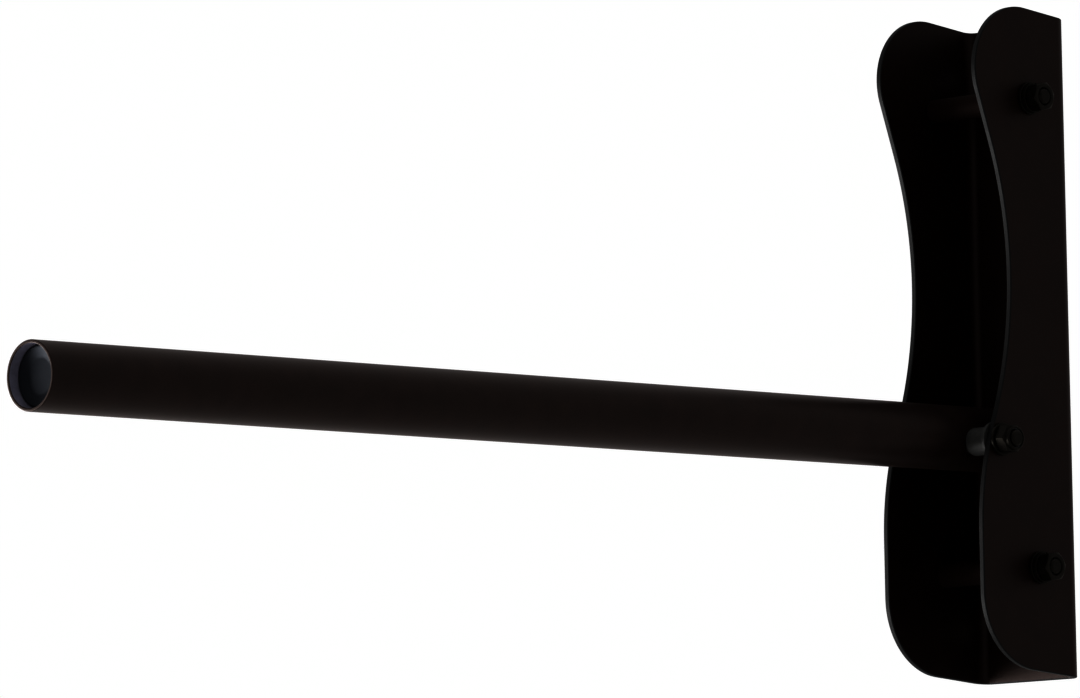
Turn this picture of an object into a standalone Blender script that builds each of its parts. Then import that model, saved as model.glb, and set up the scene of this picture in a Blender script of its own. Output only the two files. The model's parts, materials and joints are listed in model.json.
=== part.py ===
"""Wall bracket with a folding tube arm.

A folded steel channel is fixed to a wall. A long round tube points out from it and turns about a
cross bolt, so that it can be folded up between the two cheeks of the channel.

World frame in metres: the wall is the plane y = 0, the arm points along -Y, +Z is up and X runs
along the wall. The origin lies on the back face of the channel, half way up it.
"""

import math

import bmesh
import bpy
from mathutils import Matrix, Vector

MM = 0.001
GAP = 0.3 * MM

# Folded channel
BRACKET_WIDTH = 67.5 * MM
PLATE = 3.0 * MM
BEND_OUTER_RADIUS = 7.5 * MM
BASE_HEIGHT = 165.0 * MM
# Corners of the cheek outline: depth from the wall, height above the foot, corner radius.
CHEEK_CORNERS = [
    (0.0, 0.0, 0.0),
    (69.4 * MM, 6.3 * MM, 38.0 * MM),
    (69.4 * MM, 96.7 * MM, 150.0 * MM),
    (33.3 * MM, 196.4 * MM, 195.0 * MM),
    (83.0 * MM, 336.4 * MM, 32.5 * MM),
    (0.0, 326.9 * MM, 0.0),
]
CHEEK_BLANK_DEPTH = 90.0 * MM
CUT_MARGIN = 10.0 * MM
WALL_HOLE_RADIUS = 4.5 * MM
WALL_HOLE_SPACING = 34.0 * MM
WALL_HOLE_HEIGHTS = (26.0 * MM, 305.0 * MM)

# Arm
TUBE_RADIUS = 16.0 * MM
TUBE_WALL = 1.6 * MM
ARM_HEIGHT = 118.7 * MM
ARM_REACH = 643.4 * MM
END_CUT_START = 2.0 * MM
END_CUT_ANGLE = math.radians(13.7)
END_CUT_BLOCK = 60.0 * MM
PLUG_RECESS = 4.5 * MM
PLUG_FACE = 2.5 * MM
PLUG_LENGTH = 15.0 * MM
PLUG_SKIRT = 2.0 * MM
PLUG_CORNER = 1.0 * MM

# Bolt positions: depth from the wall, height above the foot
PIVOT = (55.0 * MM, 115.5 * MM)
UPPER_CROSS = (29.5 * MM, 285.5 * MM)
LOWER_CROSS = (29.5 * MM, 53.5 * MM)

# M8 fasteners
BOLT_RADIUS = 4.0 * MM
# Length under the head: an 80 mm bolt, with the gaps in its stack added
BOLT_LENGTH = 81.2 * MM
HOLE_RADIUS = BOLT_RADIUS + GAP
HEX_ACROSS_FLATS = 13.0 * MM
HEAD_HEIGHT = 5.3 * MM
HEX_CHAMFER = 0.9 * MM
HEX_CHAMFER_DEPTH = 0.54 * MM
HEX_CLEARANCE = 0.18 * MM
BOLT_TIP_CHAMFER = 1.0 * MM
PLAIN_NUT_HEIGHT = 6.5 * MM
LOCK_NUT_HEX_HEIGHT = 6.0 * MM
LOCK_NUT_HEIGHT = 8.0 * MM
LOCK_NUT_COLLAR_RADIUS = 5.9 * MM
LOCK_NUT_LIP = 0.6 * MM
INSERT_RADIUS = 5.1 * MM
INSERT_HEIGHT = 1.8 * MM
WASHER_RADIUS = 8.0 * MM
WASHER_THICKNESS = 1.6 * MM
SPRING_WASHER_RADIUS = 7.4 * MM
SPRING_WASHER_THICKNESS = 2.0 * MM
SPRING_WASHER_SLIT = 0.8 * MM
SPRING_WASHER_SLANT = math.radians(25.0)
# How far each hexagon is turned from having a corner level with its bolt
PIVOT_HEX_TURN = math.radians(0.0)
UPPER_HEX_TURN = math.radians(13.0)
LOWER_HEX_TURN = math.radians(8.0)
THRUST_WASHER_RADIUS = 9.0 * MM
THRUST_WASHER_THICKNESS = 2.0 * MM
PIVOT_SPACER_RADIUS = 7.0 * MM
SLEEVE_RADIUS = 6.0 * MM
CROSS_SPACER_RADIUS = 6.0 * MM
EDGE_CHAMFER = 0.3 * MM

# Facets
ROUND_SEGMENTS = 28
TUBE_SEGMENTS = 64
PLUG_SEGMENTS = 40
ARC_STEP = math.radians(4.0)
EXTRA_ARC_STEPS = 3
BEND_STEPS = 8
SHARP_ANGLE = math.radians(28.0)

HALF_WIDTH = BRACKET_WIDTH / 2.0
HALF_INSIDE = HALF_WIDTH - PLATE
ARM_INNER_DEPTH = PLATE + GAP


def clear_scene():
    """Remove every object that is already in the file."""
    for old in list(bpy.data.objects):
        bpy.data.objects.remove(old, do_unlink=True)


def material(name, colour, roughness, metallic):
    """Make one Principled material."""
    made = bpy.data.materials.new(name)
    made.use_nodes = True
    shader = made.node_tree.nodes["Principled BSDF"]
    shader.inputs["Base Color"].default_value = (*colour, 1.0)
    shader.inputs["Roughness"].default_value = roughness
    shader.inputs["Metallic"].default_value = metallic
    return made


def powder_coat(name):
    """Black powder coat on steel."""
    return material(name, (0.016, 0.014, 0.013), 0.42, 0.0)


def dark_steel(name):
    """Blackened steel of the bolts, nuts and washers."""
    return material(name, (0.045, 0.046, 0.044), 0.38, 0.9)


def black_plastic(name):
    """Black moulded plastic."""
    return material(name, (0.018, 0.018, 0.018), 0.5, 0.0)


def nylon(name):
    """Grey nylon of the lock rings."""
    return material(name, (0.12, 0.12, 0.13), 0.5, 0.0)


def add_object(name, mesh, finish=None):
    """Put a mesh in the scene as a smooth-shaded object with its own material."""
    mesh.shade_smooth()
    mesh.set_sharp_from_angle(angle=SHARP_ANGLE)
    made = bpy.data.objects.new(name, mesh)
    bpy.context.scene.collection.objects.link(made)
    if finish is not None:
        mesh.materials.append(finish(name + "_finish"))
    return made


def mesh_from_bmesh(name, shape):
    """Turn a bmesh into a mesh with outward normals."""
    bmesh.ops.recalc_face_normals(shape, faces=shape.faces[:])
    mesh = bpy.data.meshes.new(name)
    shape.to_mesh(mesh)
    shape.free()
    return mesh


def extrude_outline(name, outline, direction):
    """Make a closed prism from a flat outline, pushed along a vector."""
    shape = bmesh.new()
    base = shape.faces.new([shape.verts.new(point) for point in outline])
    pushed = bmesh.ops.extrude_face_region(shape, geom=[base])
    moved = [item for item in pushed["geom"] if isinstance(item, bmesh.types.BMVert)]
    bmesh.ops.translate(shape, verts=moved, vec=direction)
    return mesh_from_bmesh(name, shape)


def turned(name, outline, segments=ROUND_SEGMENTS, closed=False):
    """Turn an outline of (radius, x) points about the X axis.

    An open outline is capped flat at both ends. A closed one makes a ring.
    """
    shape = bmesh.new()
    rings = []
    for radius, along in outline:
        ring = []
        for step in range(segments):
            angle = 2.0 * math.pi * step / segments
            ring.append(shape.verts.new((along, radius * math.cos(angle), radius * math.sin(angle))))
        rings.append(ring)
    pairs = list(zip(rings, rings[1:]))
    if closed:
        pairs.append((rings[-1], rings[0]))
    else:
        shape.faces.new(rings[0])
        shape.faces.new(rings[-1])
    for first, second in pairs:
        for step in range(segments):
            after = (step + 1) % segments
            shape.faces.new((first[step], first[after], second[after], second[step]))
    return mesh_from_bmesh(name, shape)


def ring(name, outer, inner, length, chamfer=EDGE_CHAMFER, segments=ROUND_SEGMENTS):
    """Make a chamfered ring from x = 0 to x = length."""
    outline = [
        (inner, 0.0),
        (outer - chamfer, 0.0),
        (outer, chamfer),
        (outer, length - chamfer),
        (outer - chamfer, length),
        (inner, length),
    ]
    return turned(name, outline, segments, closed=True)


def hexagon(name, across_flats, length, turn):
    """Make a hexagonal prism from x = 0 to x = length, turned about X."""
    radius = across_flats / math.sqrt(3.0)
    outline = []
    for step in range(6):
        angle = turn + math.radians(60.0) * step
        outline.append((0.0, radius * math.cos(angle), radius * math.sin(angle)))
    return extrude_outline(name, outline, (length, 0.0, 0.0))


def cutter(name, mesh):
    """Make a hidden object that only shapes another one."""
    made = add_object(name, mesh)
    made.hide_render = True
    made.display_type = "WIRE"
    return made


def combine(target, tool, operation):
    """Add a Boolean modifier to the target."""
    step = target.modifiers.new(operation.title() + " " + tool.name, "BOOLEAN")
    step.operation = operation
    step.solver = "EXACT"
    step.object = tool


def at_height(depth, height):
    """Give the world point at a depth from the wall and a height above the foot."""
    return Vector((0.0, -depth, height - BASE_HEIGHT))


def rounded_outline(corners):
    """Round the corners of an outline of (depth, height, radius) points."""
    points = []
    count = len(corners)
    for index, (depth, height, radius) in enumerate(corners):
        here = Vector((depth, height))
        if radius == 0.0:
            points.append(here)
            continue
        before = Vector(corners[index - 1][:2])
        after = Vector(corners[(index + 1) % count][:2])
        inward = (before - here).normalized()
        outward = (after - here).normalized()
        half_angle = inward.angle(outward) / 2.0
        centre = here + (inward + outward).normalized() * radius / math.sin(half_angle)
        start = here + inward * radius / math.tan(half_angle) - centre
        turn = math.pi - 2.0 * half_angle
        if inward.cross(outward) > 0.0:
            turn = -turn
        steps = math.ceil(abs(turn) / ARC_STEP) + EXTRA_ARC_STEPS
        for step in range(steps + 1):
            angle = turn * step / steps
            rotated = Matrix.Rotation(angle, 2) @ start
            points.append(centre + rotated)
    return points


def channel_section():
    """Outline of the folded channel seen from above, as (x, y) points."""
    inner_radius = BEND_OUTER_RADIUS - PLATE
    centre_x = HALF_WIDTH - BEND_OUTER_RADIUS
    steps = BEND_STEPS

    def bend(radius, side):
        arc = []
        for step in range(steps + 1):
            angle = math.radians(90.0) * step / steps
            arc.append((side * (centre_x + radius * math.cos(angle)),
                        -BEND_OUTER_RADIUS + radius * math.sin(angle)))
        return arc

    outside = [(HALF_WIDTH, -CHEEK_BLANK_DEPTH)] + bend(BEND_OUTER_RADIUS, 1.0)
    outside += bend(BEND_OUTER_RADIUS, -1.0)[::-1] + [(-HALF_WIDTH, -CHEEK_BLANK_DEPTH)]
    inside = [(-HALF_INSIDE, -CHEEK_BLANK_DEPTH)] + bend(inner_radius, -1.0)
    inside += bend(inner_radius, 1.0)[::-1] + [(HALF_INSIDE, -CHEEK_BLANK_DEPTH)]
    return outside + inside


def wall_bracket():
    """Fold the channel, trim it to the cheek outline and drill it."""
    low = -BASE_HEIGHT - CUT_MARGIN
    high = max(corner[1] for corner in CHEEK_CORNERS) - BASE_HEIGHT + CUT_MARGIN
    section = [(x, y, low) for x, y in channel_section()]
    blank = extrude_outline("wall_bracket", section, (0.0, 0.0, high - low))
    bracket = add_object("wall_bracket", blank, powder_coat)

    outline = rounded_outline(CHEEK_CORNERS)
    reach = HALF_WIDTH + CUT_MARGIN
    side = [(-reach, -depth, height - BASE_HEIGHT) for depth, height in outline]
    trim = cutter("cut_cheek_outline", extrude_outline("cut_cheek_outline", side, (2.0 * reach, 0.0, 0.0)))
    combine(bracket, trim, "INTERSECT")

    for label, place in (("pivot", PIVOT), ("upper", UPPER_CROSS), ("lower", LOWER_CROSS)):
        drill = [(HOLE_RADIUS, -reach), (HOLE_RADIUS, reach)]
        tool = cutter("cut_" + label + "_holes", turned("cut_" + label, drill))
        tool.location = at_height(*place)
        combine(bracket, tool, "DIFFERENCE")

    for row, height in enumerate(WALL_HOLE_HEIGHTS):
        for column, sign in enumerate((-1.0, 1.0)):
            name = f"cut_wall_hole_{row}_{column}"
            drill = [(WALL_HOLE_RADIUS, -CUT_MARGIN), (WALL_HOLE_RADIUS, CUT_MARGIN)]
            tool = cutter(name, turned(name, drill))
            tool.rotation_euler = (0.0, 0.0, math.radians(90.0))
            tool.location = at_height(0.0, height)
            tool.location.x = sign * WALL_HOLE_SPACING / 2.0
            combine(bracket, tool, "DIFFERENCE")
    return bracket


def arm_tube(pivot):
    """Cut the tube to length, slant its inner end and drill it for the sleeve."""
    length = ARM_REACH - ARM_INNER_DEPTH
    shape = ring("arm_tube", TUBE_RADIUS, TUBE_RADIUS - TUBE_WALL, length, segments=TUBE_SEGMENTS)
    tube = add_object("arm_tube", shape, powder_coat)
    tube.parent = pivot
    tube.rotation_euler = (0.0, 0.0, math.radians(-90.0))
    tube.location = at_height(ARM_INNER_DEPTH, ARM_HEIGHT) - pivot.location

    slant = add_block("cut_slanted_end", END_CUT_BLOCK)
    slant.rotation_euler = (END_CUT_ANGLE, 0.0, 0.0)
    corner = at_height(ARM_INNER_DEPTH, PIVOT[1] + END_CUT_START)
    offset = Matrix.Rotation(END_CUT_ANGLE, 3, "X") @ Vector((0.0, 1.0, 0.0))
    slant.location = corner + offset * END_CUT_BLOCK / 2.0
    combine(tube, slant, "DIFFERENCE")

    reach = TUBE_RADIUS + CUT_MARGIN
    drill = [(SLEEVE_RADIUS + GAP, -reach), (SLEEVE_RADIUS + GAP, reach)]
    tool = cutter("cut_sleeve_hole", turned("cut_sleeve_hole", drill))
    tool.location = at_height(*PIVOT)
    combine(tube, tool, "DIFFERENCE")
    return tube


def add_block(name, size):
    """Make a hidden cube that only cuts."""
    half = size / 2.0
    outline = [(-half, -half, -half), (half, -half, -half), (half, half, -half), (-half, half, -half)]
    return cutter(name, extrude_outline(name, outline, (0.0, 0.0, size)))


def arm_end_plug(pivot):
    """Cup-shaped plug that sits inside the outer end of the tube."""
    outer = TUBE_RADIUS - TUBE_WALL - GAP
    outline = [
        (outer - PLUG_CORNER, 0.0),
        (outer, PLUG_CORNER),
        (outer, PLUG_LENGTH),
        (outer - PLUG_SKIRT, PLUG_LENGTH),
        (outer - PLUG_SKIRT, PLUG_FACE),
    ]
    plug = add_object("arm_end_plug", turned("arm_end_plug", outline, PLUG_SEGMENTS), black_plastic)
    plug.parent = pivot
    plug.rotation_euler = (0.0, 0.0, math.radians(90.0))
    plug.location = at_height(ARM_REACH - PLUG_RECESS, ARM_HEIGHT) - pivot.location
    return plug


def ring_along_x(name, place, start, outer, length, finish, parent=None):
    """Put a ring round a bolt hole, starting at x = start."""
    made = add_object(name, ring(name, outer, HOLE_RADIUS, length), finish)
    made.location = at_height(*place) + Vector((start, 0.0, 0.0))
    if parent is not None:
        made.parent = parent
        made.location -= parent.location
    return made


def chamfered_hexagon(name, length, turn, finish, both_ends):
    """Hexagon whose corners are turned off at its outer end, and at its inner one if asked."""
    made = add_object(name, hexagon(name, HEX_ACROSS_FLATS, length, turn), finish)
    corner = HEX_ACROSS_FLATS / math.sqrt(3.0)
    outline = [
        (corner - HEX_CHAMFER if both_ends else corner + HEX_CLEARANCE, 0.0 if both_ends else -GAP),
        (corner + HEX_CLEARANCE, HEX_CHAMFER_DEPTH),
        (corner + HEX_CLEARANCE, length - HEX_CHAMFER_DEPTH),
        (corner - HEX_CHAMFER, length),
    ]
    tool = cutter("cut_" + name + "_corners", turned("cut_" + name, outline))
    combine(made, tool, "INTERSECT")
    return made, tool


def hex_bolt(name, place, turn):
    """Bolt with its head outside the left cheek and its tip outside the right one."""
    under_head = -(HALF_WIDTH + WASHER_THICKNESS + 2.0 * GAP)
    made, corners = chamfered_hexagon(name, HEAD_HEIGHT, turn, dark_steel, both_ends=False)
    shank = [
        (BOLT_RADIUS, -HEAD_HEIGHT / 2.0),
        (BOLT_RADIUS, BOLT_LENGTH - BOLT_TIP_CHAMFER),
        (BOLT_RADIUS - BOLT_TIP_CHAMFER, BOLT_LENGTH),
    ]
    tool = cutter("cut_" + name + "_shank", turned("cut_" + name + "_shank", shank))
    for item in (made, corners):
        item.rotation_euler = (0.0, 0.0, math.radians(180.0))
        item.location = at_height(*place) + Vector((under_head, 0.0, 0.0))
    tool.location = made.location
    combine(made, tool, "UNION")
    return made


def lock_nut(name, place, start, turn):
    """Hexagon nut with a round collar that holds a nylon ring."""
    made, corners = chamfered_hexagon(name, LOCK_NUT_HEX_HEIGHT, turn, dark_steel, both_ends=True)
    collar = [
        (LOCK_NUT_COLLAR_RADIUS, LOCK_NUT_HEX_HEIGHT / 2.0),
        (LOCK_NUT_COLLAR_RADIUS, LOCK_NUT_HEIGHT - LOCK_NUT_LIP),
        (LOCK_NUT_COLLAR_RADIUS - LOCK_NUT_LIP, LOCK_NUT_HEIGHT),
    ]
    pocket_start = LOCK_NUT_HEIGHT - LOCK_NUT_LIP - INSERT_HEIGHT - GAP
    pocket_end = LOCK_NUT_HEIGHT - LOCK_NUT_LIP + GAP
    bore = [
        (HOLE_RADIUS, -CUT_MARGIN),
        (HOLE_RADIUS, pocket_start),
        (INSERT_RADIUS + GAP, pocket_start),
        (INSERT_RADIUS + GAP, pocket_end),
        (INSERT_RADIUS - GAP, pocket_end),
        (INSERT_RADIUS - GAP, LOCK_NUT_HEIGHT + CUT_MARGIN),
    ]
    added = cutter("cut_" + name + "_collar", turned("cut_" + name + "_collar", collar))
    removed = cutter("cut_" + name + "_bore", turned("cut_" + name + "_bore", bore))
    for item in (made, corners, added, removed):
        item.location = at_height(*place) + Vector((start, 0.0, 0.0))
    combine(made, added, "UNION")
    combine(made, removed, "DIFFERENCE")
    return made


def plain_nut(name, place, start, turn):
    """Plain hexagon nut."""
    made, corners = chamfered_hexagon(name, PLAIN_NUT_HEIGHT, turn, dark_steel, both_ends=True)
    bore = [(HOLE_RADIUS, -CUT_MARGIN), (HOLE_RADIUS, PLAIN_NUT_HEIGHT + CUT_MARGIN)]
    removed = cutter("cut_" + name + "_bore", turned("cut_" + name + "_bore", bore))
    for item in (made, corners, removed):
        item.location = at_height(*place) + Vector((start, 0.0, 0.0))
    combine(made, removed, "DIFFERENCE")
    return made


def spring_washer(name, place, start):
    """Split ring under a plain nut, with its slanted slit on top."""
    made = ring_along_x(name, place, start, SPRING_WASHER_RADIUS, SPRING_WASHER_THICKNESS, dark_steel)
    half = SPRING_WASHER_SLIT / 2.0
    low = -CUT_MARGIN
    outline = [(low, -half, 0.0), (-low, -half, 0.0), (-low, half, 0.0), (low, half, 0.0)]
    slit = cutter("cut_" + name + "_slit",
                  extrude_outline("cut_" + name, outline, (0.0, 0.0, CUT_MARGIN)))
    slit.rotation_euler = (0.0, 0.0, SPRING_WASHER_SLANT)
    slit.location = made.location + Vector((SPRING_WASHER_THICKNESS / 2.0, 0.0, 0.0))
    combine(made, slit, "DIFFERENCE")
    return made


def washer_pair(label, place):
    """Flat washers outside both cheeks; gives where the next piece on the right starts."""
    outside = HALF_WIDTH + GAP
    left = -(outside + WASHER_THICKNESS)
    ring_along_x(label + "_head_washer", place, left, WASHER_RADIUS, WASHER_THICKNESS, dark_steel)
    ring_along_x(label + "_nut_washer", place, outside, WASHER_RADIUS, WASHER_THICKNESS, dark_steel)
    return outside + WASHER_THICKNESS + GAP


def pivot_bolt():
    """Pivot bolt, two washers, lock nut and its nylon ring through both cheeks."""
    hex_bolt("pivot_bolt", PIVOT, PIVOT_HEX_TURN)
    start = washer_pair("pivot", PIVOT)
    lock_nut("pivot_lock_nut", PIVOT, start, PIVOT_HEX_TURN)
    insert_start = start + LOCK_NUT_HEIGHT - LOCK_NUT_LIP - INSERT_HEIGHT
    ring_along_x("pivot_nut_insert", PIVOT, insert_start, INSERT_RADIUS, INSERT_HEIGHT, nylon)


def cross_bolt(label, place, turn):
    """Cross bolt, two washers, spring washer and plain nut through both cheeks."""
    hex_bolt(label + "_cross_bolt", place, turn)
    start = washer_pair(label, place)
    spring_washer(label + "_spring_washer", place, start)
    plain_nut(label + "_nut", place, start + SPRING_WASHER_THICKNESS + GAP, turn)
    cross_spacer(label + "_spacer_tube", place)


def cross_spacer(name, place):
    """Tube on a cross bolt that keeps the two cheeks apart."""
    length = 2.0 * (HALF_INSIDE - GAP)
    return ring_along_x(name, place, -length / 2.0, CROSS_SPACER_RADIUS, length, powder_coat)


def pivot_spacers():
    """Spacer and thrust washer between the tube and each cheek."""
    washer_start = HALF_INSIDE - GAP - THRUST_WASHER_THICKNESS
    spacer_start = TUBE_RADIUS + GAP
    spacer_length = washer_start - GAP - spacer_start
    for side, sign in (("left", -1.0), ("right", 1.0)):
        washer_x = washer_start if sign > 0.0 else -(washer_start + THRUST_WASHER_THICKNESS)
        spacer_x = spacer_start if sign > 0.0 else -(spacer_start + spacer_length)
        ring_along_x("pivot_thrust_washer_" + side, PIVOT, washer_x, THRUST_WASHER_RADIUS,
                     THRUST_WASHER_THICKNESS, dark_steel)
        ring_along_x("pivot_spacer_" + side, PIVOT, spacer_x, PIVOT_SPACER_RADIUS,
                     spacer_length, dark_steel)


def build():
    """Build the whole assembly at rest, with the arm level."""
    clear_scene()
    wall_bracket()
    pivot_bolt()
    pivot_spacers()
    cross_bolt("upper", UPPER_CROSS, UPPER_HEX_TURN)
    cross_bolt("lower", LOWER_CROSS, LOWER_HEX_TURN)

    pivot = bpy.data.objects.new("arm_pivot", None)
    bpy.context.scene.collection.objects.link(pivot)
    pivot.location = at_height(*PIVOT)
    arm_tube(pivot)
    arm_end_plug(pivot)
    ring_along_x("arm_pivot_sleeve", PIVOT, -TUBE_RADIUS, SLEEVE_RADIUS, 2.0 * TUBE_RADIUS,
                 dark_steel, parent=pivot)


build()
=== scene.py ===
"""Looks of a wall bracket with a folding tube arm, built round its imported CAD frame.

Every piece is made here in metres, in the frame of the CAD: the wall is the plane y = 0, the arm
points along -Y at rest, +Z is up and X runs along the wall. A piece takes its place, and each size
that a box can tell, from the box of the CAD node that it stands for. The constants give the rest.
"""

import json
import math
from collections import namedtuple

import bmesh
import bpy
from mathutils import Matrix, Vector


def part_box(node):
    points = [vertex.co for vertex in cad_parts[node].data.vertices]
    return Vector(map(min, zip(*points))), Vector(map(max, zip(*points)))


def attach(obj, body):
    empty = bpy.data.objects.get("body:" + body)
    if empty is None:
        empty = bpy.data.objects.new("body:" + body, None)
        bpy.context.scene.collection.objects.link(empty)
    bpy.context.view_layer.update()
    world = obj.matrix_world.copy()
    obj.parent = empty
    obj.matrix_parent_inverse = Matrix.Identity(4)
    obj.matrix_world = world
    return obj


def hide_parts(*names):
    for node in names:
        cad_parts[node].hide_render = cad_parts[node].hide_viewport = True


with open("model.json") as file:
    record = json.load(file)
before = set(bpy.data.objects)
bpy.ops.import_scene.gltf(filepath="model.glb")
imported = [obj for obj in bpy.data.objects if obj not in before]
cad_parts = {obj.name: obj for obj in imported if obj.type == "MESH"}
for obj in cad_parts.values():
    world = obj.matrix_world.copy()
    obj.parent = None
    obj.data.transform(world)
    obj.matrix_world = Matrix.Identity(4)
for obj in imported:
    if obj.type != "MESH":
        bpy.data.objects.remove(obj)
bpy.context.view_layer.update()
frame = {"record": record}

MM = 0.001
# Clearance between pieces that touch
GAP = 0.3 * MM
QUARTER_TURN = math.radians(90.0)

# Folded channel: a plate with two bends
PLATE = 3.0 * MM
BEND_RADIUS = 7.5 * MM
# Corners of the cheek's outline: depth from the wall, height above the foot, corner radius
CHEEK_CORNERS = [
    (0.0, 0.0, 0.0),
    (69.4 * MM, 6.3 * MM, 38.0 * MM),
    (69.4 * MM, 96.7 * MM, 150.0 * MM),
    (33.3 * MM, 196.4 * MM, 195.0 * MM),
    (83.0 * MM, 336.4 * MM, 32.5 * MM),
    (0.0, 326.9 * MM, 0.0),
]
WALL_HOLE_RADIUS = 4.5 * MM
WALL_HOLE_SPACING = 34.0 * MM
WALL_HOLE_HEIGHTS = (26.0 * MM, 305.0 * MM)
PLATE_EDGE = 0.55 * MM
HOLE_EDGE = 0.3 * MM

# Arm
TUBE_WALL = 1.6 * MM
TUBE_LIP = 0.45 * MM
# The inner end is cut square up to a little above the pivot, and slanted from there on.
INNER_CUT_START = 2.0 * MM
INNER_CUT_ANGLE = math.radians(13.7)
SLEEVE_RADIUS = 6.0 * MM
# A face of the tube belongs to the bore if its middle is at most this far outside the bore's radius.
BORE_MARGIN = 0.02 * MM
PLUG_FACE = 4.0 * MM
PLUG_DISH_RADIUS = 8.5 * MM
PLUG_DISH_DEPTH = 1.8 * MM
PLUG_DISH_SOFT = 6.0 * MM
PLUG_MIDDLE = 0.6 * MM
PLUG_SKIRT = 2.0 * MM
PLUG_EDGE = 0.8 * MM
PLUG_FINS = 3
PLUG_FIN_DEPTH = 0.8 * MM
PLUG_FIN_SOFT = 0.25 * MM
# Where a fin's valley starts and ends, and where its crest starts, as shares of the fins' pitch
PLUG_VALLEY_START = 0.35
PLUG_VALLEY_END = 0.70
PLUG_CREST_START = 0.75

# M8 bolts
BOLTS = ("pivot_bolt", "upper_cross_bolt", "lower_cross_bolt")
BOLT_RADIUS = 4.0 * MM
HOLE_RADIUS = BOLT_RADIUS + GAP
HEAD_HEIGHT = 5.3 * MM
FILLET = 0.4 * MM
FILLET_WIDTH = 0.24 * MM
THREAD_PITCH = 1.25 * MM
THREAD_DEPTH = 0.62 * MM
THREAD_LENGTH = 22.0 * MM
# Half widths of the groove at its bottom and at the crests, as shares of half a pitch
GROOVE_BOTTOM = 1.0 / 6.0
GROOVE_TOP = 5.0 / 6.0
TIP_CHAMFER = 1.0 * MM
TIP_SOFT = 0.15 * MM

# Hexagons of the heads and the nuts
HEX_ACROSS_FLATS = 13.0 * MM
HEX_CORNER_RADIUS = 0.35 * MM
# The chamfer is a cone that leaves the flat end at this radius.
HEX_CONE_RADIUS = 6.15 * MM
HEX_CONE_SLOPE = math.tan(math.radians(30.0))
HEX_SOFT = 0.16 * MM
# How far the middle of a softened edge is set in, as a share of HEX_SOFT
SOFT_MIDDLE = 0.3
# How far the edge between cone and flat is lowered, as a share of the cone's fall over HEX_SOFT
CONE_EDGE_DROP = 0.25
# How far each hexagon is turned from having a corner level with its bolt
HEX_TURN = {"pivot": 0.0, "upper": math.radians(13.0), "lower": math.radians(8.0)}

# Nuts and washers
LOCK_NUT_HEX_HEIGHT = 6.0 * MM
LOCK_NUT_COLLAR_RADIUS = 5.9 * MM
LOCK_NUT_COLLAR_STEP = 0.05 * MM
LOCK_NUT_LIP = 0.6 * MM
LOCK_NUT_MOUTH_SOFT = 0.15 * MM
LOCK_NUT_LIP_SOFT = 0.08 * MM
INSERT_RADIUS = 5.1 * MM
INSERT_HEIGHT = 1.8 * MM
BORE_SINK = 0.45 * MM
BORE_SOFT = 0.1 * MM
RING_EDGE = 0.3 * MM
SPRING_WASHER_EDGE = 0.25 * MM
SPRING_WASHER_SLIT = 0.8 * MM
SPRING_WASHER_SLANT = math.radians(25.0)

# Facets
ARC_STEP = math.radians(1.5)
BEND_STEPS = 16
EDGE_STEPS = 4
FILLET_STEPS = 3
FLAT_STEPS = 8
THREAD_STEPS = 8
HOLE_SEGMENTS = 64
RING_SEGMENTS = 72
TUBE_SEGMENTS = 144
FLOOR_SEGMENTS = 8
CUT_TOLERANCE = 0.0005 * MM
# A mitre grows no longer once the cosine of half its corner's turn is below this.
SHARPEST_MITRE = 0.5

# Floor, lights and camera
# The softbox points at this place.
AIM = Vector((0.0, -0.15, -0.02))
FLOOR_HALF = 14.0
FLOOR_HEIGHT = -0.9
SOFTBOX_DIRECTION = (-0.80, -0.45, -0.40)
SOFTBOX_DISTANCE = 1.8
SOFTBOX_SIZE = (1.7, 1.6)
SOFTBOX_POWER = 122.0
OVERHEAD_STRENGTH = 0.8
OVERHEAD_SPREAD = math.radians(50.0)
OVERHEAD_TILT = math.radians(4.0)
VIEW_GAMMA = 0.46
CAMERA_AZIMUTH = math.radians(46.45)
CAMERA_ELEVATION = math.radians(-5.49)
CAMERA_ROLL = math.radians(-1.027)
CAMERA_PLACE = (2.65229, -2.85221, -0.37849)
CAMERA_LENS = 261.67
CAMERA_SENSOR = 36.0
CAMERA_SHIFT = (-0.0033, 0.0184)
CAMERA_REACH = 100.0

# A finish: its darkest and lightest colour, its range of roughness, and its shine's level and tint
Finish = namedtuple("Finish", "dark light roughness specular tint")
WHITE = (1.0, 1.0, 1.0)
WARM = (1.0, 0.85, 0.80)
OILY = (1.0, 0.93, 0.82)
COOL = (0.84, 0.90, 1.0)
DUST = (0.035, 0.032, 0.029)
COAT = Finish((0.0120, 0.0052, 0.0036), (0.0170, 0.0080, 0.0056), (0.42, 0.45), 0.36, WARM)
TUBE_COAT = Finish((0.019, 0.011, 0.009), (0.027, 0.016, 0.013), (0.42, 0.45), 0.38, WARM)
# Copy of the coat for the cut edges: neutral grey and flatter, a painted highlight tone for the edges
EDGE_HIGHLIGHT_COAT = Finish((0.010, 0.010, 0.010), (0.017, 0.017, 0.017), (0.50, 0.62), 0.26, WHITE)
MATT_COAT = COAT._replace(roughness=(0.62, 0.78), specular=0.22)
BLACK_STEEL = Finish((0.0070, 0.0060, 0.0046), (0.0165, 0.0140, 0.0110), (0.36, 0.52), 0.33, OILY)
GREY_STEEL = Finish((0.049, 0.049, 0.047), (0.074, 0.074, 0.072), (0.50, 0.66), 0.40, WHITE)
BORE_STEEL = Finish((0.25, 0.245, 0.29), (0.36, 0.35, 0.42), (0.45, 0.62), 0.5, WHITE)
PLASTIC = Finish((0.009, 0.010, 0.014), (0.014, 0.0155, 0.021), (0.42, 0.60), 0.38, COOL)
NYLON = Finish((0.055, 0.055, 0.058), (0.085, 0.085, 0.088), (0.40, 0.55), 0.5, WHITE)
FLOOR = Finish((0.815, 0.815, 0.812), (0.825, 0.825, 0.822), (0.75, 0.85), 0.2, WHITE)

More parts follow.
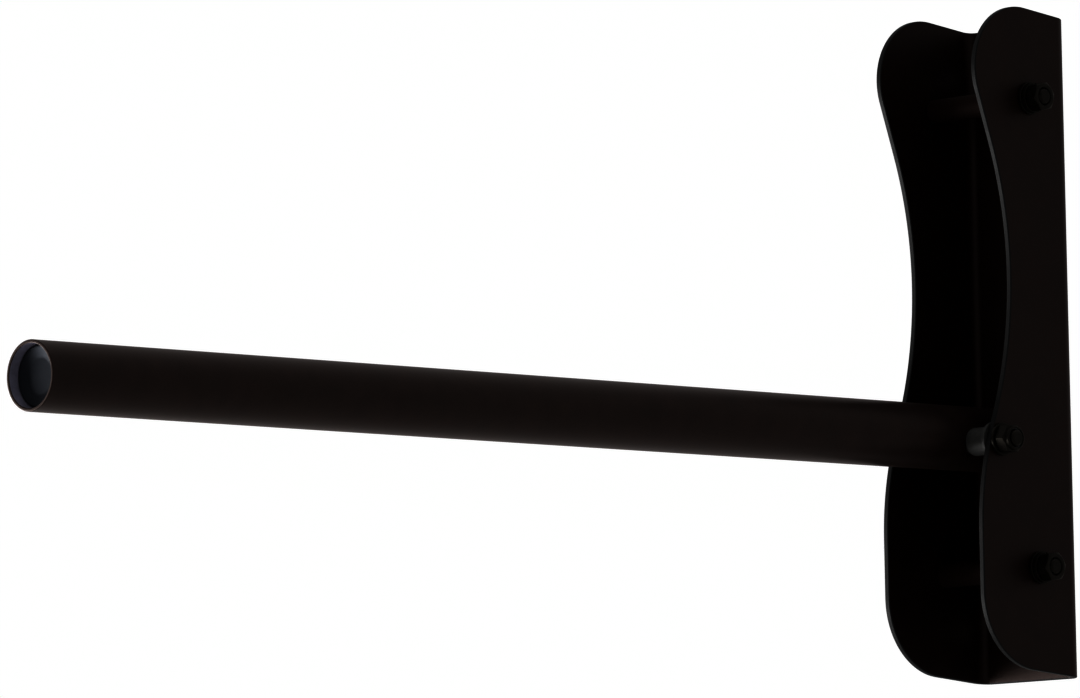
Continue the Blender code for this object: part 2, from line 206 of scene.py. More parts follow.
box_low, box_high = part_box("wall_bracket")
HALF_WIDTH = (box_high.x - box_low.x) / 2.0
FOOT = box_low.z
WEB_HALF = HALF_WIDTH - BEND_RADIUS
MID_RADIUS = BEND_RADIUS - PLATE / 2.0
BEND_RUN = QUARTER_TURN * MID_RADIUS

BODY_OF = {}
for body_name, members in frame["record"]["behaviour"]["bodies"].items():
    for member in members:
        BODY_OF[member] = body_name


# ---------------------------------------------------------------- materials


class Nodes:
    """Short hand for building a material's nodes."""

    # Sockets of a Mix node that mixes colours
    MIX_INPUTS = (6, 7)
    MIX_RESULT = 2

    def __init__(self, name):
        self.material = bpy.data.materials.new(name)
        self.material.use_nodes = True
        self.tree = self.material.node_tree
        self.shader = self.tree.nodes["Principled BSDF"]
        self.place = self.add("ShaderNodeTexCoord").outputs["Object"]

    def add(self, kind, **values):
        """Add a node and set its inputs."""
        node = self.tree.nodes.new(kind)
        for name, value in values.items():
            node.inputs[name].default_value = value
        return node

    def link(self, source, target):
        """Join an output to an input."""
        self.tree.links.new(source, target)

    def noise(self, scale, detail=2.0, roughness=0.5):
        """Noise at a scale per metre."""
        node = self.add("ShaderNodeTexNoise", Scale=scale, Detail=detail, Roughness=roughness)
        self.link(self.place, node.inputs["Vector"])
        return node.outputs["Fac"]

    def stretched_noise(self, scale, detail):
        """Noise at a scale per metre of its own along each axis."""
        stretch = self.add("ShaderNodeMapping", Scale=scale)
        self.link(self.place, stretch.inputs["Vector"])
        node = self.add("ShaderNodeTexNoise", Scale=1.0, Detail=detail)
        self.link(stretch.outputs["Vector"], node.inputs["Vector"])
        return node.outputs["Fac"]

    def spread(self, source, low, high, start=0.3, end=0.7):
        """Map a value from start..end to low..high."""
        node = self.add("ShaderNodeMapRange")
        for name, value in (("From Min", start), ("From Max", end), ("To Min", low), ("To Max", high)):
            node.inputs[name].default_value = value
        self.link(source, node.inputs["Value"])
        return node.outputs["Result"]

    def mix(self, factor, first, second):
        """Mix two colours by a value."""
        node = self.add("ShaderNodeMix")
        node.data_type = "RGBA"
        self.link(factor, node.inputs["Factor"])
        for index, value in zip(self.MIX_INPUTS, (first, second)):
            if isinstance(value, tuple):
                node.inputs[index].default_value = (*value, 1.0)
            else:
                self.link(value, node.inputs[index])
        return node.outputs[self.MIX_RESULT]

    def two_tone(self, source, finish):
        """Vary between a finish's dark and light colours."""
        return self.mix(self.spread(source, 0.0, 1.0), finish.dark, finish.light)

    def bump(self, height, distance, before=None):
        """Bump of a height in metres, on top of another one."""
        node = self.add("ShaderNodeBump", Strength=1.0, Distance=distance)
        self.link(height, node.inputs["Height"])
        if before is not None:
            self.link(before, node.inputs["Normal"])
        return node.outputs["Normal"]

    def complete(self, colour, gloss, normal, finish, metallic=0.0):
        """Join everything to the shader; the gloss value runs through the finish's roughness."""
        roughness = self.spread(gloss, *finish.roughness)
        for name, value in (("Base Color", colour), ("Roughness", roughness), ("Normal", normal)):
            self.link(value, self.shader.inputs[name])
        self.shader.inputs["Metallic"].default_value = metallic
        self.shader.inputs["Specular IOR Level"].default_value = finish.specular
        self.shader.inputs["Specular Tint"].default_value = (*finish.tint, 1.0)
        return self.material


def powder_coat(name, finish=COAT):
    """Satin black powder coat: fine orange peel, cloudy gloss and a few dust specks."""
    nodes = Nodes(name)
    cloud = nodes.noise(scale=75.0, detail=4.0, roughness=0.55)
    speck = nodes.noise(scale=2600.0, detail=1.0)
    peel = nodes.noise(scale=620.0, roughness=0.45)
    fine = nodes.noise(scale=2100.0, roughness=0.6)
    dusty = nodes.spread(speck, 0.0, 0.55, start=0.74, end=0.82)
    colour = nodes.mix(dusty, nodes.two_tone(cloud, finish), DUST)
    normal = nodes.bump(peel, 0.030 * MM)
    normal = nodes.bump(fine, 0.006 * MM, before=normal)
    return nodes.complete(colour, cloud, normal, finish)


def tube_coat(name):
    """The coat on the arm, a little browner and lighter than on the bracket."""
    return powder_coat(name, TUBE_COAT)


def edge_highlight_coat(name):
    """Copy of the coat on cut edges, flatter and neutral grey, which paints the edges' highlight as a dim
    neutral grey line.
    """
    return powder_coat(name, EDGE_HIGHLIGHT_COAT)


def matt_coat(name):
    """The coat on the spacer tubes between the cheeks, flatter than on the outside."""
    return powder_coat(name, MATT_COAT)


def black_steel(name, finish=BLACK_STEEL):
    """Black-finished steel: partly metallic, with faint turning marks and rubbed patches."""
    nodes = Nodes(name)
    cloud = nodes.noise(scale=160.0, detail=4.0, roughness=0.6)
    grain = nodes.noise(scale=2400.0, detail=3.0, roughness=0.6)
    marks = nodes.stretched_noise(scale=(6000.0, 500.0, 500.0), detail=2.0)
    normal = nodes.bump(marks, 0.010 * MM)
    normal = nodes.bump(grain, 0.004 * MM, before=normal)
    return nodes.complete(nodes.two_tone(cloud, finish), grain, normal, finish, metallic=0.2)


def grey_steel(name):
    """Plain grey steel of the turned spacers and thrust washers at the pivot."""
    return black_steel(name, GREY_STEEL)


def bore_steel(name):
    """Bluish drawn steel inside the tube, where the powder does not reach."""
    nodes = Nodes(name)
    cloud = nodes.noise(scale=120.0, detail=4.0, roughness=0.6)
    drawn = nodes.stretched_noise(scale=(1400.0, 60.0, 1400.0), detail=3.0)
    normal = nodes.bump(drawn, 0.015 * MM)
    return nodes.complete(nodes.two_tone(cloud, BORE_STEEL), drawn, normal, BORE_STEEL, metallic=0.25)


def moulded_plastic(name):
    """Black moulded plastic with a fine spark-eroded texture."""
    nodes = Nodes(name)
    cloud = nodes.noise(scale=90.0, detail=3.0)
    grain = nodes.noise(scale=3200.0, detail=3.0, roughness=0.65)
    flow = nodes.noise(scale=240.0)
    normal = nodes.bump(flow, 0.020 * MM)
    normal = nodes.bump(grain, 0.012 * MM, before=normal)
    return nodes.complete(nodes.two_tone(cloud, PLASTIC), grain, normal, PLASTIC)


def grey_nylon(name):
    """Grey nylon with a waxy surface."""
    nodes = Nodes(name)
    cloud = nodes.noise(scale=400.0, detail=3.0)
    return nodes.complete(nodes.two_tone(cloud, NYLON), cloud, nodes.bump(cloud, 0.02 * MM), NYLON)


def pale_floor(name):
    """Pale matt floor with very faint mottling."""
    nodes = Nodes(name)
    cloud = nodes.noise(scale=3.0, detail=5.0, roughness=0.6)
    normal = nodes.bump(nodes.noise(scale=60.0, detail=3.0), 0.2 * MM)
    return nodes.complete(nodes.two_tone(cloud, FLOOR), cloud, normal, FLOOR)


# ---------------------------------------------------------------- mesh helpers


def finish_piece(node, shape, look, normals=None):
    """Turn a bmesh into the piece that stands for a CAD node and rides on its body."""
    bmesh.ops.recalc_face_normals(shape, faces=shape.faces[:])
    mesh = bpy.data.meshes.new(node + "_fine")
    shape.to_mesh(mesh)
    shape.free()
    mesh.shade_smooth()
    piece = bpy.data.objects.new(node + "_fine", mesh)
    bpy.context.scene.collection.objects.link(piece)
    mesh.materials.append(look(node + "_look"))
    if normals is None:
        level = piece.modifiers.new("Even shading", "WEIGHTED_NORMAL")
        level.keep_sharp = True
    else:
        mesh.normals_split_custom_set_from_vertices(normals)
    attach(piece, BODY_OF[node])
    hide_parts(node)
    return piece


def corner_arc(before, corner, after, radius, steps=None):
    """Arc that rounds a corner, in a number of steps or in steps of ARC_STEP."""
    inward = (before - corner).normalized()
    outward = (after - corner).normalized()
    half = inward.angle(outward) / 2.0
    centre = corner + (inward + outward).normalized() * radius / math.sin(half)
    start = corner + inward * radius / math.tan(half) - centre
    turn = math.pi - 2.0 * half
    if inward.cross(outward) > 0.0:
        turn = -turn
    if steps is None:
        steps = math.ceil(abs(turn) / ARC_STEP)
    return [centre + Matrix.Rotation(turn * step / steps, 2) @ start for step in range(steps + 1)]


def rounded(points, steps=EDGE_STEPS):
    """Round the corners of a closed outline of (across, along, radius) points."""
    made = []
    count = len(points)
    for index, (across, along, radius) in enumerate(points):
        corner = Vector((across, along))
        if radius == 0.0:
            made.append(corner)
            continue
        before = Vector(points[index - 1][:2])
        after = Vector(points[(index + 1) % count][:2])
        made += corner_arc(before, corner, after, radius, steps)
    return made


def join_rings(shape, first, second):
    """Quads between two rings of vertices."""
    made = []
    for step, (a, b) in enumerate(zip(first, second)):
        after = (step + 1) % len(first)
        made.append(shape.faces.new((a, first[after], second[after], b)))
    return made


def bridge(shape, rings, closed):
    """Join a stack of rings into a closed surface; an open stack is capped flat at both ends."""
    pairs = list(zip(rings, rings[1:]))
    if closed:
        pairs.append((rings[-1], rings[0]))
    else:
        shape.faces.new(rings[0])
        shape.faces.new(rings[-1])
    for first, second in pairs:
        join_rings(shape, first, second)


def directions(segments):
    """Evenly spread unit directions round an axis."""
    steps = (2.0 * math.pi * step / segments for step in range(segments))
    return [Vector((math.cos(angle), math.sin(angle))) for angle in steps]


def ring_points(shape, along, radius, spokes):
    """One ring of vertices round the X axis."""
    return [shape.verts.new((along, radius * spoke.x, radius * spoke.y)) for spoke in spokes]


def turned(outline, closed=True):
    """Turn an outline of (radius, along) points about the X axis."""
    shape = bmesh.new()
    spokes = directions(RING_SEGMENTS)
    rings = [ring_points(shape, along, radius, spokes) for radius, along in outline]
    bridge(shape, rings, closed)
    return shape


def moved(shape, matrix):
    """Place a bmesh."""
    bmesh.ops.transform(shape, matrix=matrix, verts=shape.verts[:])
    return shape


def middle_of(node):
    """Middle of a CAD node's box."""
    low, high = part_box(node)
    return (low + high) / 2.0


def length_of(node):
    """Length of a CAD node along the bolts."""
    low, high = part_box(node)
    return high.x - low.x


def on_bolt(node, along=0.0):
    """Move to a distance along X from the start of a node on a bolt."""
    low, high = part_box(node)
    return Matrix.Translation((low.x + along, (low.y + high.y) / 2.0, (low.z + high.z) / 2.0))


# ---------------------------------------------------------------- folded channel


def run_to(depth):
    """Distance along the flat sheet to a depth on a cheek."""
    return WEB_HALF + BEND_RUN + depth - BEND_RADIUS


def line_height(first, second, depth):
    """Height at a depth on the straight line through two corners."""
    share = (depth - first[0]) / (second[0] - first[0])
    return first[1] + share * (second[1] - first[1])


def blank_outline():
    """Outline of the flat blank as (distance along the sheet, height) points."""
    bend = []
    for step in range(BEND_STEPS + 1):
        share = step / BEND_STEPS
        depth = BEND_RADIUS - MID_RADIUS * math.cos(QUARTER_TURN * share)
        bend.append((WEB_HALF + BEND_RUN * share, depth))
    foot = [(run, line_height(CHEEK_CORNERS[0], CHEEK_CORNERS[1], depth)) for run, depth in bend]
    head = [(run, line_height(CHEEK_CORNERS[-1], CHEEK_CORNERS[-2], depth)) for run, depth in bend]
    cheek = [(run_to(depth), height) for depth, height in rounded(CHEEK_CORNERS, steps=None)[1:-1]]
    right = foot + cheek + head[::-1]
    left = [(-run, height) for run, height in right[::-1]]
    return [Vector((run, height + FOOT)) for run, height in right + left]


def hole_outlines():
    """Outlines of all round holes in the blank, turning the other way round from the blank's own."""
    holes = []
    for node in BOLTS:
        middle = middle_of(node)
        holes += [(side * run_to(-middle.y), middle.z, HOLE_RADIUS) for side in (-1.0, 1.0)]
    for height in WALL_HOLE_HEIGHTS:
        holes += [(side * WALL_HOLE_SPACING, FOOT + height, WALL_HOLE_RADIUS) for side in (-0.5, 0.5)]
    outlines = []
    for run, height, radius in holes:
        spokes = directions(HOLE_SEGMENTS)
        outlines.append([Vector((run + radius * spoke.x, height - radius * spoke.y)) for spoke in spokes])
    return outlines


def outward_of(outline):
    """Direction out of the material at each point of an outline, lengthened as a mitre."""
    made = []
    count = len(outline)
    for index, point in enumerate(outline):
        before = (point - outline[index - 1]).normalized()
        after = (outline[(index + 1) % count] - point).normalized()
        along = (before + after).normalized()
        made.append(Vector((along.y, -along.x)) / max(along.dot(after), SHARPEST_MITRE))
    return made


def edge_rings(shape, flat_normal, outline, edge):
    """Rounded edge of the blank along one outline; gives its loops on the two faces."""
    levels = []
    for step in range(EDGE_STEPS + 1):
        angle = QUARTER_TURN * step / EDGE_STEPS
        out, up = math.sin(angle), math.cos(angle)
        levels.append((edge * (1.0 - out), edge * (1.0 - up), out, up))
    levels += [(back, PLATE - sunk, out, -up) for back, sunk, out, up in levels[::-1]]
    outward = outward_of(outline)
    rings = []
    for back, sunk, out, up in levels:
        ring = []
        for point, normal in zip(outline, outward):
            place = point - normal * back
            vertex = shape.verts.new((place.x, -sunk, place.y))
            vertex[flat_normal] = Vector((normal.x * out, up, normal.y * out)).normalized()
            ring.append(vertex)
        rings.append(ring)
    for first, second in zip(rings, rings[1:]):
        # The edge faces take the second material, the coat copy with the painted edge-highlight tone
        for face in join_rings(shape, first, second):
            face.material_index = 1
    return rings[0], rings[-1]


def fill_sheet(shape, loops, facing):
    """Fill one face of the blank between its outline and its holes."""
    edges = []
    for loop in loops:
        edges += [shape.edges.get((loop[step - 1], loop[step])) for step in range(len(loop))]
    bmesh.ops.triangle_fill(shape, edges=edges, use_beauty=True, normal=Vector((0.0, facing, 0.0)))


def cut_at_bends(shape):
    """Cut the blank along the lines where it will bend."""
    for side in (-1.0, 1.0):
        for step in range(BEND_STEPS + 1):
            place = Vector((side * (WEB_HALF + BEND_RUN * step / BEND_STEPS), 0.0, 0.0))
            whole = shape.verts[:] + shape.edges[:] + shape.faces[:]
            bmesh.ops.bisect_plane(
                shape, geom=whole, dist=CUT_TOLERANCE, plane_co=place, plane_no=(1.0, 0.0, 0.0))


def fold(flat, normal):
    """Where a point of the flat blank goes when the channel is folded, and its normal."""
    run = abs(flat.x)
    side = 1.0 if flat.x >= 0.0 else -1.0
    sunk = -flat.y
    if run <= WEB_HALF:
        angle = 0.0
        place = Vector((flat.x, -sunk, flat.z))
    elif run <= WEB_HALF + BEND_RUN:
        angle = (run - WEB_HALF) / MID_RADIUS
        radius = BEND_RADIUS - sunk
        across = side * (WEB_HALF + radius * math.sin(angle))
        place = Vector((across, radius * math.cos(angle) - BEND_RADIUS, flat.z))
    else:
        angle = QUARTER_TURN
        place = Vector((side * (HALF_WIDTH - sunk), run_to(0.0) - run, flat.z))
    along = Vector((math.cos(angle), -side * math.sin(angle), 0.0))
    out = Vector((side * math.sin(angle), math.cos(angle), 0.0))
    return place, along * normal.x + out * normal.y + Vector((0.0, 0.0, normal.z))


def wall_bracket():
    """Cut the flat blank with softened edges, drill it and fold it."""
    shape = bmesh.new()
    flat_normal = shape.verts.layers.float_vector.new("flat_normal")
    loops = [edge_rings(shape, flat_normal, blank_outline(), PLATE_EDGE)]
    loops += [edge_rings(shape, flat_normal, outline, HOLE_EDGE) for outline in hole_outlines()]
    fill_sheet(shape, [back for back, front in loops], 1.0)
    fill_sheet(shape, [front for back, front in loops], -1.0)
    cut_at_bends(shape)
    normals = []
    for vertex in shape.verts:
        vertex.co, normal = fold(vertex.co, vertex[flat_normal])
        normals.append(normal.normalized())
    shape.verts.layers.float_vector.remove(flat_normal)
    piece = finish_piece("wall_bracket", shape, powder_coat, normals)
    # The cut edges get the coat copy that paints their highlight a dim neutral grey
    piece.data.materials.append(edge_highlight_coat("wall_bracket_edge_highlight_look"))


# ---------------------------------------------------------------- arm


def arm_tube():
    """Tube with a rounded lip, a slanted inner end and holes for the pivot sleeve."""
    low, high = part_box("arm_tube")
    radius = (high.x - low.x) / 2.0
    bore = radius - TUBE_WALL
    axis = low.z + radius
    length = high.y - low.y
    pivot = middle_of("arm_pivot_sleeve")
    cut_from = pivot.z + INNER_CUT_START
    section = rounded([
        (radius, 0.0, TUBE_LIP),
        (radius, length, TUBE_LIP),
        (bore, length, TUBE_LIP),
        (bore, 0.0, TUBE_LIP),
    ])
    shape = bmesh.new()
    rings = []
    for across, along in section:
        ring = []
        for spoke in directions(TUBE_SEGMENTS):
            height = axis + across * spoke.y
            slant = max(0.0, (height - cut_from) * math.tan(INNER_CUT_ANGLE))
            shift = slant if along < length / 2.0 else 0.0
            ring.append(shape.verts.new((across * spoke.x, high.y - along - shift, height)))
        rings.append(ring)
    bridge(shape, rings, closed=True)
    drill_radius = SLEEVE_RADIUS + GAP
    drill = turned([(drill_radius, -2.0 * radius), (drill_radius, 2.0 * radius)], closed=False)
    drilled = drill_through(shape, moved(drill, Matrix.Translation(pivot)))
    for face in drilled.faces:
        middle = face.calc_center_median()
        from_axis = Vector((middle.x, middle.z - axis)).length
        face.material_index = 1 if from_axis < bore + BORE_MARGIN else 0
    piece = finish_piece("arm_tube", drilled, tube_coat)
    piece.data.materials.append(bore_steel("arm_tube_inside_look"))


def drill_through(shape, drill):
    """Take one bmesh out of another with an exact Boolean."""
    holders = []
    for item in (shape, drill):
        bmesh.ops.recalc_face_normals(item, faces=item.faces[:])
        mesh = bpy.data.meshes.new("drilling")
        item.to_mesh(mesh)
        item.free()
        holder = bpy.data.objects.new("drilling", mesh)
        bpy.context.scene.collection.objects.link(holder)
        holders.append(holder)
    cut = holders[0].modifiers.new("Holes", "BOOLEAN")
    cut.operation = "DIFFERENCE"
    cut.solver = "EXACT"
    cut.object = holders[1]
    bpy.context.view_layer.update()
    seen = holders[0].evaluated_get(bpy.context.evaluated_depsgraph_get())
    result = bmesh.new()
    result.from_mesh(seen.to_mesh())
    seen.to_mesh_clear()
    for holder in holders:
        mesh = holder.data
        bpy.data.objects.remove(holder)
        bpy.data.meshes.remove(mesh)
    return result


def arm_end_plug():
    """Cup-shaped plug with a dished face and gripping fins round its skirt."""
    low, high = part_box("arm_end_plug")
    outer = (high.x - low.x) / 2.0
    inner = outer - PLUG_SKIRT
    valley = outer - PLUG_FIN_DEPTH
    length = high.y - low.y
    land = PLUG_FACE + PLUG_EDGE
    pitch = (length - land) / PLUG_FINS
    points = [
        (PLUG_MIDDLE, PLUG_DISH_DEPTH, 0.0),
        (PLUG_DISH_RADIUS, PLUG_DISH_DEPTH, PLUG_DISH_SOFT),
        (outer, 0.0, PLUG_EDGE),
        (outer, land, PLUG_FIN_SOFT),
    ]
    for index in range(PLUG_FINS):
        start = land + index * pitch
        points += [
            (valley, start + PLUG_VALLEY_START * pitch, PLUG_FIN_SOFT),
            (valley, start + PLUG_VALLEY_END * pitch, PLUG_FIN_SOFT),
            (outer, start + PLUG_CREST_START * pitch, PLUG_FIN_SOFT / 2.0),
            (outer, start + pitch, PLUG_FIN_SOFT / 2.0),
        ]
    points += [
        (inner, length, PLUG_FIN_SOFT),
        (inner, PLUG_FACE, PLUG_FIN_SOFT),
        (PLUG_MIDDLE, PLUG_FACE, 0.0),
    ]
    shape = turned(rounded(points), closed=False)
    turn = Matrix.Rotation(QUARTER_TURN, 4, "Z")
    place = Matrix.Translation((0.0, low.y, (low.z + high.z) / 2.0))
    finish_piece("arm_end_plug", moved(shape, place @ turn), moulded_plastic)


# ---------------------------------------------------------------- fasteners


def hex_spokes(turn):
    """Corner-softened hexagon as (direction, distance from the axis) pairs, turned about X."""
    corner = HEX_ACROSS_FLATS / math.sqrt(3.0)
    corners = []
    for step in range(6):
        angle = turn + math.radians(60.0) * step
        corners.append((corner * math.cos(angle), corner * math.sin(angle), HEX_CORNER_RADIUS))
    outline = rounded(corners)
    points = []
    for index, point in enumerate(outline):
        points.append(point)
        after = outline[(index + 1) % len(outline)]
        if (after - point).length > HEX_CORNER_RADIUS:
            points += [point.lerp(after, part / FLAT_STEPS) for part in range(1, FLAT_STEPS)]
    return [(point.normalized(), point.length) for point in points]


def hex_end(shape, spokes, height, outwards):
    """Rings of a chamfered hexagon end, from the side to the flat of the end."""
    middle = SOFT_MIDDLE * HEX_SOFT
    cone_drop = CONE_EDGE_DROP * HEX_SOFT * HEX_CONE_SLOPE
    levels = (("hex", 0.0, HEX_SOFT), ("hex", middle, middle), ("hex", HEX_SOFT, 0.0),
              ("cone", HEX_SOFT, 0.0), ("cone", 0.0, cone_drop), ("cone", -HEX_SOFT, 0.0))
    rings = []
    for kind, back, sunk in levels:
        ring = []
        for spoke, distance in spokes:
            radius = distance - back if kind == "hex" else HEX_CONE_RADIUS + back
            drop = max(0.0, radius - HEX_CONE_RADIUS) * HEX_CONE_SLOPE + sunk
            ring.append(shape.verts.new((height - outwards * drop, radius * spoke.x, radius * spoke.y)))
        rings.append(ring)
    return rings


def plain_end(shape, spokes, height, outwards):
    """Rings of an unchamfered hexagon end with a softened edge."""
    middle = SOFT_MIDDLE * HEX_SOFT
    rings = []
    for back, sunk in ((0.0, HEX_SOFT), (middle, middle), (HEX_SOFT, 0.0)):
        ring = []
        for spoke, distance in spokes:
            radius = distance - back
            ring.append(shape.verts.new((height - outwards * sunk, radius * spoke.x, radius * spoke.y)))
        rings.append(ring)
    return rings


def thread_rings(shape, spokes, start, end):
    """Rings of a helical thread between two places on a shank."""
    rings = []
    count = round((end - start) / THREAD_PITCH * THREAD_STEPS)
    for index in range(count + 1):
        along = start + (end - start) * index / count
        fade = min(1.0, (along - start) / THREAD_PITCH, (end - along) / THREAD_PITCH)
        ring = []
        for spoke in spokes:
            angle = math.atan2(spoke.y, spoke.x) / (2.0 * math.pi)
            phase = (along / THREAD_PITCH - angle) % 1.0
            from_middle = abs(2.0 * phase - 1.0)
            groove = min(1.0, max(0.0, (GROOVE_TOP - from_middle) / (GROOVE_TOP - GROOVE_BOTTOM)))
            radius = BOLT_RADIUS - THREAD_DEPTH * groove * fade
            ring.append(shape.verts.new((along, radius * spoke.x, radius * spoke.y)))
        rings.append(ring)
    return rings


def hex_bolt(node, turn):
    """Hexagon bolt: chamfered head, filleted shank, thread and tip as one closed surface."""
    length = length_of(node) - HEAD_HEIGHT
    pairs = hex_spokes(-turn)
    spokes = [spoke for spoke, distance in pairs]
    shape = bmesh.new()
    rings = hex_end(shape, pairs, -HEAD_HEIGHT, -1.0)[::-1]
    rings += plain_end(shape, pairs, 0.0, 1.0)
    for step in range(FILLET_STEPS + 1):
        angle = QUARTER_TURN * step / FILLET_STEPS
        radius = BOLT_RADIUS + FILLET_WIDTH * (1.0 - math.sin(angle))
        rings.append(ring_points(shape, FILLET * (1.0 - math.cos(angle)), radius, spokes))
    rings += thread_rings(shape, spokes, length - THREAD_LENGTH, length - TIP_CHAMFER)
    tip_radius = BOLT_RADIUS - TIP_CHAMFER
    rings.append(ring_points(shape, length - TIP_SOFT, tip_radius + TIP_SOFT, spokes))
    rings.append(ring_points(shape, length, tip_radius - TIP_SOFT, spokes))
    bridge(shape, rings, closed=False)
    finish_piece(node, moved(shape, on_bolt(node, HEAD_HEIGHT)), black_steel)


def nut(node, turn, hex_height, outer_end, bore):
    """Hexagon with a chamfer at both ends, and outlines of its outer end and its bore."""
    pairs = hex_spokes(turn)
    spokes = [spoke for spoke, distance in pairs]
    shape = bmesh.new()
    hexagon = hex_end(shape, pairs, 0.0, -1.0)[::-1] + hex_end(shape, pairs, hex_height, 1.0)
    flat = HEX_CONE_RADIUS - HEX_SOFT
    outline = rounded([(flat, 0.0, 0.0), (flat, hex_height, 0.0)] + outer_end + bore)
    rest = [ring_points(shape, along, radius, spokes) for radius, along in outline[2:]]
    bridge(shape, hexagon + rest, closed=True)
    finish_piece(node, moved(shape, on_bolt(node)), black_steel)


def lock_nut(node, turn):
    """Hexagon nut whose round collar is rolled in over a nylon ring."""
    height = length_of(node)
    lip = height - LOCK_NUT_LIP + GAP
    pocket = height - LOCK_NUT_LIP - INSERT_HEIGHT - GAP
    mouth = INSERT_RADIUS - GAP
    outer_end = [
        (LOCK_NUT_COLLAR_RADIUS, LOCK_NUT_HEX_HEIGHT + LOCK_NUT_COLLAR_STEP, 0.0),
        (LOCK_NUT_COLLAR_RADIUS, height, LOCK_NUT_LIP),
        (mouth, height, LOCK_NUT_MOUTH_SOFT),
    ]
    bore = [
        (mouth, lip, LOCK_NUT_LIP_SOFT),
        (INSERT_RADIUS + GAP, lip, 0.0),
        (INSERT_RADIUS + GAP, pocket, 0.0),
        (HOLE_RADIUS, pocket, BORE_SOFT),
        (HOLE_RADIUS, 0.0, RING_EDGE),
    ]
    nut(node, turn, LOCK_NUT_HEX_HEIGHT, outer_end, bore)


def plain_nut(node, turn):
    """Plain hexagon nut with a countersunk bore."""
    height = length_of(node)
    sunk_radius = HOLE_RADIUS + BORE_SINK
    outer_end = [(sunk_radius, height, BORE_SOFT), (HOLE_RADIUS, height - BORE_SINK, BORE_SOFT)]
    bore = [(HOLE_RADIUS, BORE_SINK, BORE_SOFT), (sunk_radius, 0.0, BORE_SOFT)]
    nut(node, turn, height, outer_end, bore)


def ring_section(node, edge):
    """Section of a ring on a bolt as (radius, along) points."""
    low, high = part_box(node)
    outer = (high.z - low.z) / 2.0
    length = high.x - low.x
    return rounded([
        (HOLE_RADIUS, 0.0, edge),
        (outer, 0.0, edge),
        (outer, length, edge),
        (HOLE_RADIUS, length, edge),
    ])


def plain_ring(node, look):
    """Washer, spacer or sleeve with softened edges."""
    shape = turned(ring_section(node, RING_EDGE))
    finish_piece(node, moved(shape, on_bolt(node)), look)


def spring_washer(node):
    """Ring with softened edges and a slanted slit on top."""
    half_length = length_of(node) / 2.0
    half_slit = SPRING_WASHER_SLIT / 2.0 / math.cos(SPRING_WASHER_SLANT)
    section = ring_section(node, SPRING_WASHER_EDGE)
    shape = bmesh.new()
    rings = []
    for step in range(RING_SEGMENTS + 1):
        ring = []
        for radius, along in section:
            shift = (along - half_length) * math.tan(SPRING_WASHER_SLANT)
            start = math.asin((shift + half_slit) / radius)
            end = 2.0 * math.pi + math.asin((shift - half_slit) / radius)
            angle = start + (end - start) * step / RING_SEGMENTS
            ring.append(shape.verts.new((along, radius * math.sin(angle), radius * math.cos(angle))))
        rings.append(ring)
    bridge(shape, rings, closed=False)
    finish_piece(node, moved(shape, on_bolt(node)), black_steel)


# ---------------------------------------------------------------- stage


def stage_floor():
    """Pale floor well below the arm."""
    shape = bmesh.new()
    bmesh.ops.create_grid(shape, x_segments=FLOOR_SEGMENTS, y_segments=FLOOR_SEGMENTS, size=FLOOR_HALF)
    mesh = bpy.data.meshes.new("stage_floor")
    shape.to_mesh(mesh)
    shape.free()
    floor = bpy.data.objects.new("stage_floor", mesh)
    floor.location = (0.0, 0.0, FLOOR_HEIGHT)
    bpy.context.scene.collection.objects.link(floor)
    mesh.materials.append(pale_floor("pale_floor"))


def softbox():
    """Large soft light, low at the front left, turned towards the object."""
    light = bpy.data.lights.new("low_front_left", "AREA")
    light.shape = "RECTANGLE"
    light.size, light.size_y = SOFTBOX_SIZE
    light.energy = SOFTBOX_POWER
    holder = bpy.data.objects.new("low_front_left", light)
    holder.location = Vector(SOFTBOX_DIRECTION).normalized() * SOFTBOX_DISTANCE + AIM
    holder.rotation_euler = (AIM - holder.location).to_track_quat("-Z", "Y").to_euler()
    holder.visible_camera = False
    bpy.context.scene.collection.objects.link(holder)


def overhead_light():
    """Wide soft light from above, a little from the wall's side."""
    light = bpy.data.lights.new("overhead", "SUN")
    light.energy = OVERHEAD_STRENGTH
    light.angle = OVERHEAD_SPREAD
    holder = bpy.data.objects.new("overhead", light)
    holder.rotation_euler = (-OVERHEAD_TILT, 0.0, 0.0)
    bpy.context.scene.collection.objects.link(holder)


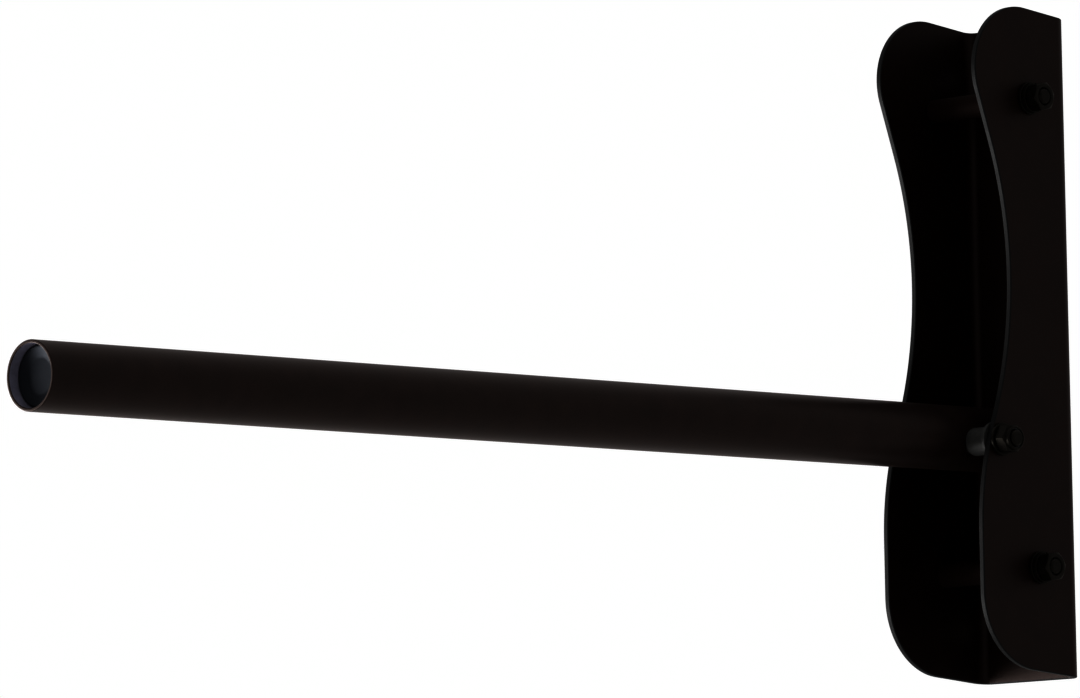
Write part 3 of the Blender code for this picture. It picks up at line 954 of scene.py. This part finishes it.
def white_surroundings():
    """Even white surroundings."""
    made = bpy.data.worlds.new("white_surroundings")
    made.use_nodes = True
    back = made.node_tree.nodes["Background"]
    back.inputs["Color"].default_value = (*WHITE, 1.0)
    back.inputs["Strength"].default_value = 1.0
    bpy.context.scene.world = made


def camera():
    """Camera at the front right, a little below the arm and looking slightly up."""
    level = math.cos(CAMERA_ELEVATION)
    towards = Vector((math.sin(CAMERA_AZIMUTH) * level, -math.cos(CAMERA_AZIMUTH) * level,
                      math.sin(CAMERA_ELEVATION)))
    right = (-towards).cross(Vector((0.0, 0.0, 1.0))).normalized()
    up = right.cross(-towards)
    rolled_right = right * math.cos(CAMERA_ROLL) + up * math.sin(CAMERA_ROLL)
    rolled_up = up * math.cos(CAMERA_ROLL) - right * math.sin(CAMERA_ROLL)
    data = bpy.data.cameras.new("camera")
    data.lens = CAMERA_LENS
    data.sensor_width = CAMERA_SENSOR
    data.shift_x, data.shift_y = CAMERA_SHIFT
    data.clip_end = CAMERA_REACH
    holder = bpy.data.objects.new("camera", data)
    place = Matrix((rolled_right, rolled_up, towards)).transposed().to_4x4()
    place.translation = Vector(CAMERA_PLACE)
    holder.matrix_world = place
    bpy.context.scene.collection.objects.link(holder)
    bpy.context.scene.camera = holder


def build_pieces():
    """Make every piece of the object."""
    wall_bracket()
    arm_tube()
    arm_end_plug()
    plain_ring("arm_pivot_sleeve", black_steel)
    for label in HEX_TURN:
        plain_ring(label + "_head_washer", black_steel)
        plain_ring(label + "_nut_washer", black_steel)
    hex_bolt("pivot_bolt", HEX_TURN["pivot"])
    lock_nut("pivot_lock_nut", HEX_TURN["pivot"])
    plain_ring("pivot_nut_insert", grey_nylon)
    for side in ("left", "right"):
        plain_ring("pivot_thrust_washer_" + side, grey_steel)
        plain_ring("pivot_spacer_" + side, grey_steel)
    for label in ("upper", "lower"):
        hex_bolt(label + "_cross_bolt", HEX_TURN[label])
        spring_washer(label + "_spring_washer")
        plain_nut(label + "_nut", HEX_TURN[label])
        plain_ring(label + "_spacer_tube", matt_coat)


build_pieces()
stage_floor()
white_surroundings()
softbox()
overhead_light()
camera()

bpy.context.scene.view_settings.view_transform = "Standard"
bpy.context.scene.view_settings.gamma = VIEW_GAMMA
